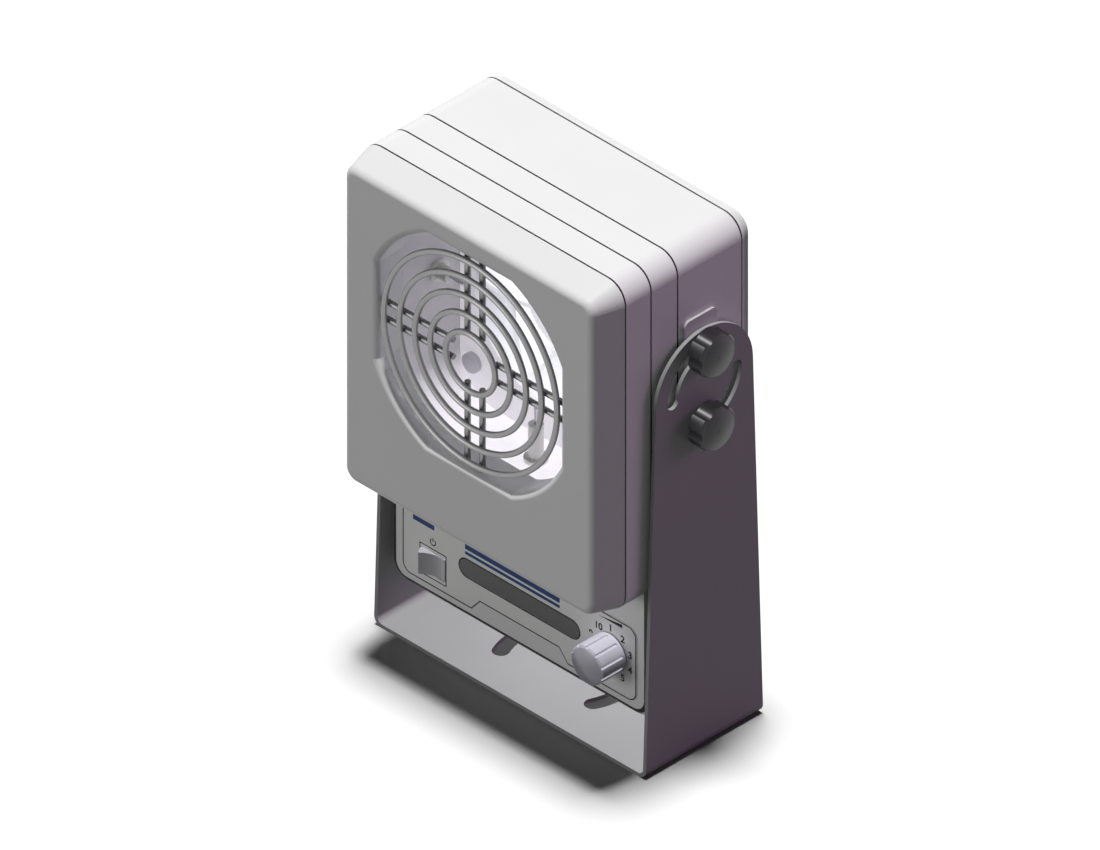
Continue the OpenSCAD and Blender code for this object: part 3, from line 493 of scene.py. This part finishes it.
def digit_piece(number):
    text = bpy.data.curves.new(f"dial_number_{number}", "FONT")
    text.body = str(number)
    text.size = DIGIT_HEIGHT / DIGIT_SHARE
    text.align_x, text.align_y = "CENTER", "CENTER"
    text.extrude = INK / 2
    text.offset = DIGIT_WEIGHT
    maker = bpy.data.objects.new(text.name, text)
    bpy.context.scene.collection.objects.link(maker)
    bpy.context.view_layer.update()
    mesh = bpy.data.meshes.new_from_object(maker)
    bpy.data.objects.remove(maker)
    angle = math.radians(DIAL_STEP * (number - 1))
    centre = Vector((
        dial_x + DIAL_RADIUS * math.sin(angle),
        film_low.y - INK / 2,
        dial_z + DIAL_RADIUS * math.cos(angle),
    ))
    mesh.transform(Matrix.Translation(centre) @ Matrix.Rotation(math.pi / 2, 4, "X"))
    mesh.name = text.name
    film_piece(text.name, mesh, black_ink_and_shade)


for number in range(1, 11):
    digit_piece(number)
print("dial numbers 1 to 10")

# %% [markdown]
# ## Bars, lines and arcs
#
# Printed marks are flat shapes. A curve with a bevel would give round wires, so a line is made as
# a chain of points given a width: at every point the chain's direction, turned by 90 degrees,
# says where the two edges of the line lie.


# %% Shapes for marks
def bar(x0, x1, z0, z1):
    return [(x0, z0), (x1, z0), (x1, z1), (x0, z1)]


def band(points, width):
    """Quads along a chain of points, as wide as asked; the chain closes on itself."""
    loops = []
    count = len(points)
    normals = []
    for i in range(count):
        before, after = Vector(points[i - 1]), Vector(points[(i + 1) % count])
        along = (after - before).normalized()
        normals.append(Vector((-along.y, along.x)) * width / 2)
    for i in range(count):
        j = (i + 1) % count
        a, b = Vector(points[i]), Vector(points[j])
        corners = [a - normals[i], b - normals[j], b + normals[j], a + normals[i]]
        loops.append([tuple(corner) for corner in corners])
    return loops


def arc(cx, cz, radius, start, end, steps):
    """Points along an arc, angles in degrees from +X towards +Z."""
    turns = [math.radians(start + (end - start) * i / steps) for i in range(steps + 1)]
    return [(cx + radius * math.cos(t), cz + radius * math.sin(t)) for t in turns]


print("a ring of 8 steps gives", len(band(arc(0, 0, 1, 0, 360, 8), 0.1)), "quads")

# %% [markdown]
# ## Outline and colour bars
#
# A thin line follows the film's edge, with its notch at the bottom. The chain of its points is
# worked out from the film's own corners, so it stays parallel to the edge at any size. Plain blue
# bars sit above the window, where such panels carry colour.

# %% Printed marks
EDGE, CORNER, LINE = 0.35 * MM, 3.6 * MM, 0.42 * MM
NOTCH = [(20.4, 0), (16.8, 4.3)]
BAR_SPAN, BADGE_SPAN = (-23 * MM, 17 * MM), (-45 * MM, -36 * MM)
THIN_BAR, WIDE_BAR, BARS_GAP = (0, 1.1 * MM), (1.9 * MM, 5 * MM), 1.8 * MM


def film_outline(inset):
    """The film's edge as a closed chain of points, moved inwards."""
    x, z0, z1, r = film_high.x - inset, film_low.z + inset, film_high.z - inset, CORNER - inset
    points = arc(x - r, z1 - r, r, 0, 90, 8) + arc(r - x, z1 - r, r, 90, 180, 8)
    points += arc(r - x, z0 + r, r, 180, 270, 8)
    notch = [(-a * MM, z0 + b * MM) for a, b in NOTCH]
    notch += [(a * MM, z0 + b * MM) for a, b in reversed(NOTCH)]
    return points + notch + arc(x - r, z0 + r, r, 270, 360, 8)


printed("film_outline", band(film_outline(EDGE), LINE), black_ink_and_shade)
bars_z = window_high.z + BARS_GAP
printed("colour_bars", [
    bar(*span, bars_z + low, bars_z + high)
    for span, (low, high) in ((BAR_SPAN, WIDE_BAR), (BAR_SPAN, THIN_BAR), (BADGE_SPAN, WIDE_BAR))
], ink_blue)
print("outline and bars printed")

# %% [markdown]
# ## The marks of the controls
#
# The power ring is an arc that stays open at the top, where its stroke stands. Thin black
# frames just outside the edges of the rocker and of the lamp window are painted shade: they stand
# for the shade in the gaps round them. A growing wedge over the dial stands for speed.

# %% Control marks
RING_RADIUS, RING_GAP, RING_LINE = 1.1 * MM, 3.0 * MM, 0.38 * MM
STROKE = (0.2 * MM, 1.5 * MM)
ROCKER_GAP, ROCKER_LINE = 0.42 * MM, 0.5 * MM
WINDOW_GAP, WINDOW_LINE = 0.3 * MM, 0.36 * MM
WEDGE_HALF, WEDGE_HEIGHT, WEDGE_GAP = 5 * MM, 1.3 * MM, 2.4 * MM

ring_x = (rocker_low.x + rocker_high.x) / 2
ring_z = rocker_high.z + RING_GAP
ring = band(arc(ring_x, ring_z, RING_RADIUS, 125, 415, 18), RING_LINE)[:-1]
stroke = bar(ring_x - RING_LINE / 2, ring_x + RING_LINE / 2, ring_z + STROKE[0], ring_z + STROKE[1])
printed("power_symbol", ring + [stroke], black_ink_and_shade)

# painted shade: a black frame for the shade in the gap round the rocker
rocker_edge = bar(
    rocker_low.x - ROCKER_GAP, rocker_high.x + ROCKER_GAP,
    rocker_low.z - ROCKER_GAP, rocker_high.z + ROCKER_GAP,
)
printed("rocker_gap_shade", band(rocker_edge, ROCKER_LINE), black_ink_and_shade)

# painted shade: a black rim for the shade in the gap round the lamp window
window_r = (window_high.z - window_low.z) / 2 + WINDOW_GAP
window_z = (window_high.z + window_low.z) / 2
left_end, right_end = window_low.x - WINDOW_GAP + window_r, window_high.x + WINDOW_GAP - window_r
window_edge = arc(right_end, window_z, window_r, -90, 90, 16)
window_edge += arc(left_end, window_z, window_r, 90, 270, 16)
printed("window_gap_shade", band(window_edge, WINDOW_LINE), black_ink_and_shade)

wedge_z = dial_z + DIAL_RADIUS + WEDGE_GAP
wedge = [(dial_x - WEDGE_HALF, wedge_z), (dial_x + WEDGE_HALF, wedge_z)]
wedge.append((dial_x + WEDGE_HALF, wedge_z + WEDGE_HEIGHT))
printed("speed_wedge", [wedge], black_ink_and_shade)
print("control marks printed")

# %% [markdown]
# ## The bench
#
# The bench is a plain white sheet. It could be made white by more light, but that light would
# bounce up and flatten the blower's sides. So the eye sees one brightness, with the blower's
# shadow on it, and light that bounces off towards the blower meets a dark sheet.

# %% Bench
BENCH_HALF = 3
SEEN_WHITE, BOUNCED_DARK = 0.5, 0.025


def bench_finish():
    finish = material_finish("bench")
    white, dark = [
        finish.node("ShaderNodeBsdfDiffuse", {}, {"Color": (level, level, level, 1)})
        for level in (SEEN_WHITE, BOUNCED_DARK)
    ]
    sockets = {0: finish.looked_at(), 1: dark, 2: white}
    return finish.end(finish.node("ShaderNodeMixShader", {}, sockets))


bench_mesh = bpy.data.meshes.new("bench")
corners = [(x * BENCH_HALF, y * BENCH_HALF, 0) for x, y in ((-1, -1), (1, -1), (1, 1), (-1, 1))]
bench_mesh.from_pydata(corners, [], [(0, 1, 2, 3)])
bench_mesh.materials.append(bench_finish())
bench = bpy.data.objects.new("bench", bench_mesh)
bpy.context.scene.collection.objects.link(bench)
print("bench laid")

# %% [markdown]
# ## The room
#
# The room is white to the eye and in reflections, but gives only a weak light of its own. One
# strength for both would either grey the backdrop or drown the lamps. Light Path tells the two
# kinds of rays apart.

# %% Room
WALL_LIGHT, WALL_SEEN = 0.045, 1.0
room = Finish(bpy.data.worlds.new("room"))
ambient, backdrop = [
    room.node("ShaderNodeBackground", {}, {"Color": (1, 1, 1, 1), "Strength": strength})
    for strength in (WALL_LIGHT, WALL_SEEN)
]
sockets = {0: room.looked_at(), 1: ambient, 2: backdrop}
mixed = room.node("ShaderNodeMixShader", {}, sockets)
bpy.context.scene.world = room.end(mixed, "ShaderNodeOutputWorld")
print("room set")

# %% [markdown]
# ## Who is lit by what
#
# In a studio, flags, grids and small reflectors keep each lamp to what it is meant for. Light
# linking does the same: a lamp has a collection of receivers, and may have a collection of
# blockers, outside which nothing throws a shadow from it. It saves building the flags.


# %% Groups for the lamps
def lit_group(name, pieces):
    group = bpy.data.collections.new(name)
    for piece in pieces:
        group.objects.link(piece)
    return group


def chosen(*names):
    return [nodes[name] for name in names]


pieces = [piece for piece in bpy.context.scene.objects if piece.type == "MESH" and piece != bench]
cover, bracket, duct = chosen("front_cover"), chosen("bracket"), chosen("air_duct")
rocker, knob = chosen("power_rocker"), chosen("speed_knob")
fan = chosen("fan_frame", "impeller")
clamps = [nodes[name] for name in nodes if name.startswith("clamp_knob")]
sheltered = bracket + duct + fan + rocker + knob + clamps
behind = chosen("rear_panel", "case_screws", "dc_inlet", "dc_inlet_nut", "ground_screw")


def all_but(*left_out):
    return [piece for piece in pieces if piece not in sum(left_out, [])]


bench_only = lit_group("bench_only", [bench])
print(len(pieces), "pieces,", len(sheltered), "of them sheltered")

# %% [markdown]
# ## The lamps
#
# The bench lamp whitens the bench and draws the soft shadow. The overhead lamp lights the top of
# the housing, and the cover lamp hangs a little further forward, so that the rounded lip of the
# outlet catches it. The bracket's base, the duct, the fan and the controls lie under or inside
# the head, where no lamp from above can reach, so reflectors that no piece blocks open them up.
# Wide fills show the front, the right side, in a slightly violet light, and the rear. Lamps from
# the left draw the flutes of the clamp knobs and the curve of the rocker.
#
# Sun lamps would be the shortest way, but linked suns don't light every piece the same way each
# time. Large disks twelve metres away do, and their light is almost as parallel as a sun's.

# %% Lamps
LAMP_DISTANCE = 12.0
WHITE = (1, 1, 1)
VIOLET = (0.95, 0.50, 1.0)
DEEP_VIOLET = (0.97, 0.38, 1.0)
DOWN = (0, 0.01, 1)
FRONT = (-0.35, -0.93, 0.15)
RIGHT = (0.5, 0.87, 0.1)


def far_lamp(name, towards, strength, softness, receivers, unblocked=False, colour=WHITE):
    """A disk lamp, far away in the direction given, that shines on some of the pieces.

    The softness is the angle in degrees that the disk fills, seen from the object, and the
    strength is what arrives there, in watts per square metre.
    """
    lamp = bpy.data.lights.new(name, "AREA")
    half = math.radians(softness) / 2
    lamp.shape, lamp.size = "DISK", 2 * LAMP_DISTANCE * math.tan(half)
    lamp.energy = strength * math.pi * LAMP_DISTANCE ** 2 / math.cos(half) ** 2
    lamp.color = colour
    holder = bpy.data.objects.new(name, lamp)
    holder.location = Vector(towards).normalized() * LAMP_DISTANCE
    holder.rotation_euler = Vector(towards).to_track_quat("Z", "Y").to_euler()
    bpy.context.scene.collection.objects.link(holder)
    holder.light_linking.receiver_collection = lit_group(name + "_on", receivers)
    if unblocked:
        holder.light_linking.blocker_collection = bench_only


far_lamp("bench_light", (-0.03, 0.0, 1), 6.5, 10, [bench])
far_lamp("overhead", DOWN, 2.9, 6, all_but(cover, sheltered))
far_lamp("cover_light", (0, -0.06, 1), 2.9, 4, cover)
far_lamp("base_reflector", DOWN, 4.2, 20, bracket, True)
far_lamp("duct_reflector", DOWN, 3.8, 20, duct, True)
far_lamp("fitted_reflector", DOWN, 3.3, 14, fan + rocker + knob, True)
far_lamp("fan_light", (0.1, -1, 0.1), 2.2, 20, fan + duct, True)
far_lamp("clamp_light", (-0.57, -0.4, 0.7), 3.6, 10, clamps, True)
far_lamp("rocker_light", (-0.9, -0.4, 0.2), 0.8, 20, rocker)
far_lamp("front_fill", FRONT, 0.9, 30, all_but(cover, knob))
far_lamp("knob_fill", FRONT, 0.55, 30, knob)
far_lamp("cover_fill", FRONT, 0.7, 30, cover)
far_lamp("right_fill", RIGHT, 0.8, 30, all_but(behind, bracket), colour=VIOLET)
far_lamp("bracket_fill", RIGHT, 0.85, 30, bracket, colour=DEEP_VIOLET)
far_lamp("rear_fill", (-0.6, 0.8, 0.2), 0.9, 30, pieces)
bpy.context.scene.view_settings.view_transform = "Standard"
print("lamps set for", len(pieces), "pieces")
